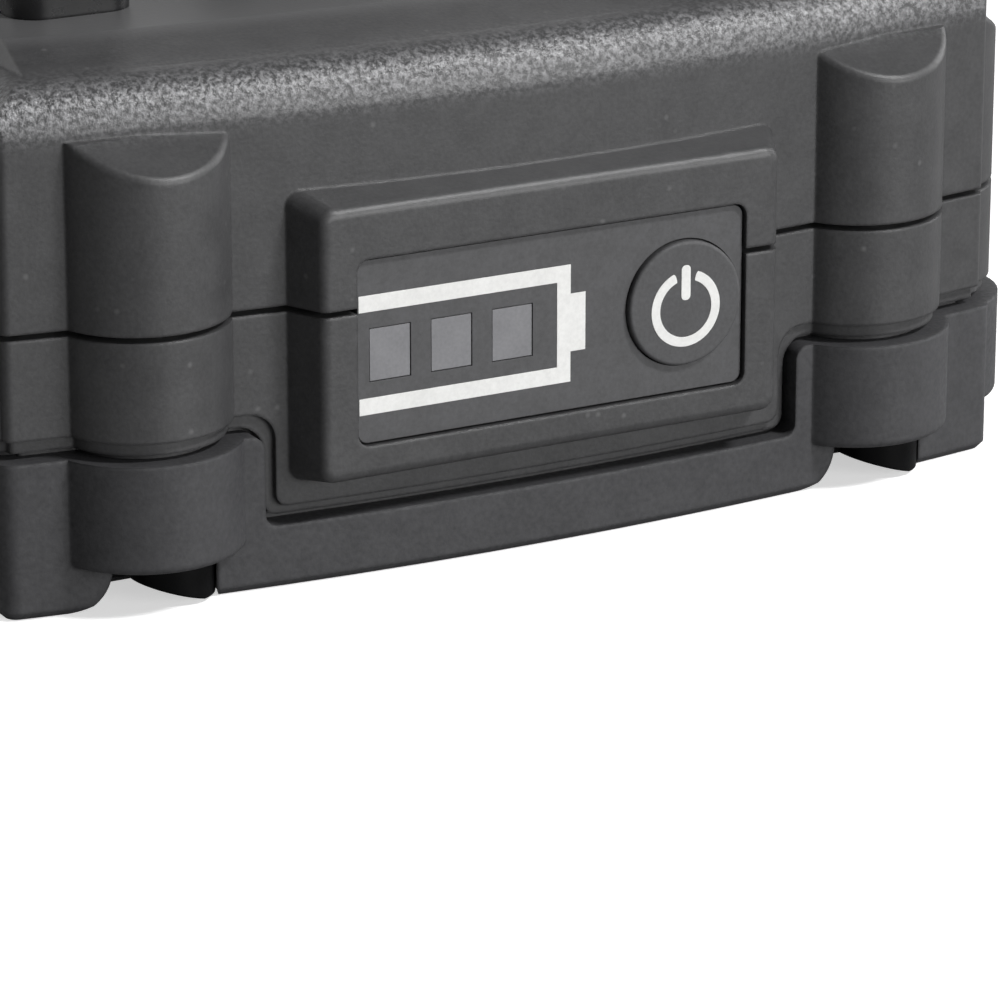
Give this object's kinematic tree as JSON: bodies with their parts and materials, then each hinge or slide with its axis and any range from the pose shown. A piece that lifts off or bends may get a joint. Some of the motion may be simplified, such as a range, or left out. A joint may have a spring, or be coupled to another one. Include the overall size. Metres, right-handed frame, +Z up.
{
  "type": "power tool battery pack",
  "caption": "Slide-on battery pack for cordless tools: cells in a two-part case with bumper, charge gauge and button, rails, terminals and a sprung release latch.",
  "frame": {"origin": "middle of the footprint, on the plane that the pack stands on", "axes": "+X to the right as seen from the gauge end, +Y from the gauge end to the terminal end, +Z up from the base to the rails"},
  "size_m": [0.0846, 0.1152, 0.0479],
  "materials": {
    "shell_plastic": "fine spark-textured moulding",
    "boot_rubber": "matte overmoulded elastomer",
    "plate": "plain sheet",
    "screw_steel": "blackened",
    "panel_plastic": "printed film on a moulded plate",
    "window_plastic": "smoked translucent",
    "button_rubber": "matte silicone",
    "white_plastic": "moulded",
    "switch_metal": "stamped",
    "circuit_board": "green solder mask",
    "lamp_body": "clear resin",
    "inner_plastic": "moulded",
    "ribbon": "polyimide film",
    "cell_wrap": "shrink sleeve",
    "white_paper": "fish paper",
    "holder_plastic": "moulded",
    "nickel": "nickel plated strip",
    "paper": "barley paper",
    "foam": "closed cell foam",
    "chip_black": "moulded epoxy",
    "capacitor_can": "drawn can",
    "sensor_resin": "dipped epoxy",
    "terminal_plastic": "moulded",
    "contact_brass": "tin plated spring brass",
    "rail_plastic": "smooth moulded",
    "latch_plastic": "moulded",
    "spring_steel": "music wire"
  },
  "bodies": {
    "pack_body": {"upper_shell": "shell_plastic", "lower_shell": "shell_plastic", "bumper_boot": "boot_rubber", "base_plate": "plate", "case_screws": "screw_steel", "gauge_panel": "panel_plastic", "gauge_windows": "window_plastic", "gauge_switch": "switch_metal", "gauge_board": "circuit_board", "gauge_lamps": "lamp_body", "light_baffle": "inner_plastic", "gauge_carrier": "inner_plastic", "gauge_ribbon": "ribbon", "cells": "cell_wrap", "cell_rings": "white_paper", "cell_holder_lower": "holder_plastic", "cell_holder_upper": "holder_plastic", "nickel_strips_left": "nickel", "nickel_strips_right": "nickel", "insulator_sheet_left": "paper", "insulator_sheet_right": "paper", "sense_tabs_left": "nickel", "sense_tabs_right": "nickel", "foam_pads": "foam", "protection_board": "circuit_board", "board_screws": "screw_steel", "mosfets": "chip_black", "controller_chip": "chip_black", "capacitors": "capacitor_can", "resistors": "chip_black", "temperature_sensor": "sensor_resin", "terminal_block": "terminal_plastic", "terminal_contacts": "contact_brass", "rail_left": "rail_plastic", "rail_right": "rail_plastic", "rail_screws": "screw_steel", "latch_spring_left": "spring_steel", "latch_spring_right": "spring_steel", "latch_retainer": "inner_plastic", "retainer_screws": "screw_steel"},
    "latch": {"release_latch": "latch_plastic"},
    "button": {"gauge_button": "button_rubber", "switch_plunger": "white_plastic"}
  },
  "joints": [
    {"name": "latch_press", "type": "slide", "parent": "pack_body", "child": "latch", "axis": [0, 0, -1], "range_m": [0, 0.004], "stiffness_N_per_m": 1500, "springref_m": -0.004, "deforming": ["latch_spring_left", "latch_spring_right"]},
    {"name": "gauge_button_press", "type": "slide", "parent": "pack_body", "child": "button", "axis": [0, 1, 0], "range_m": [0, 0.0005], "stiffness_N_per_m": 2000, "springref_m": -0.0005}
  ]
}
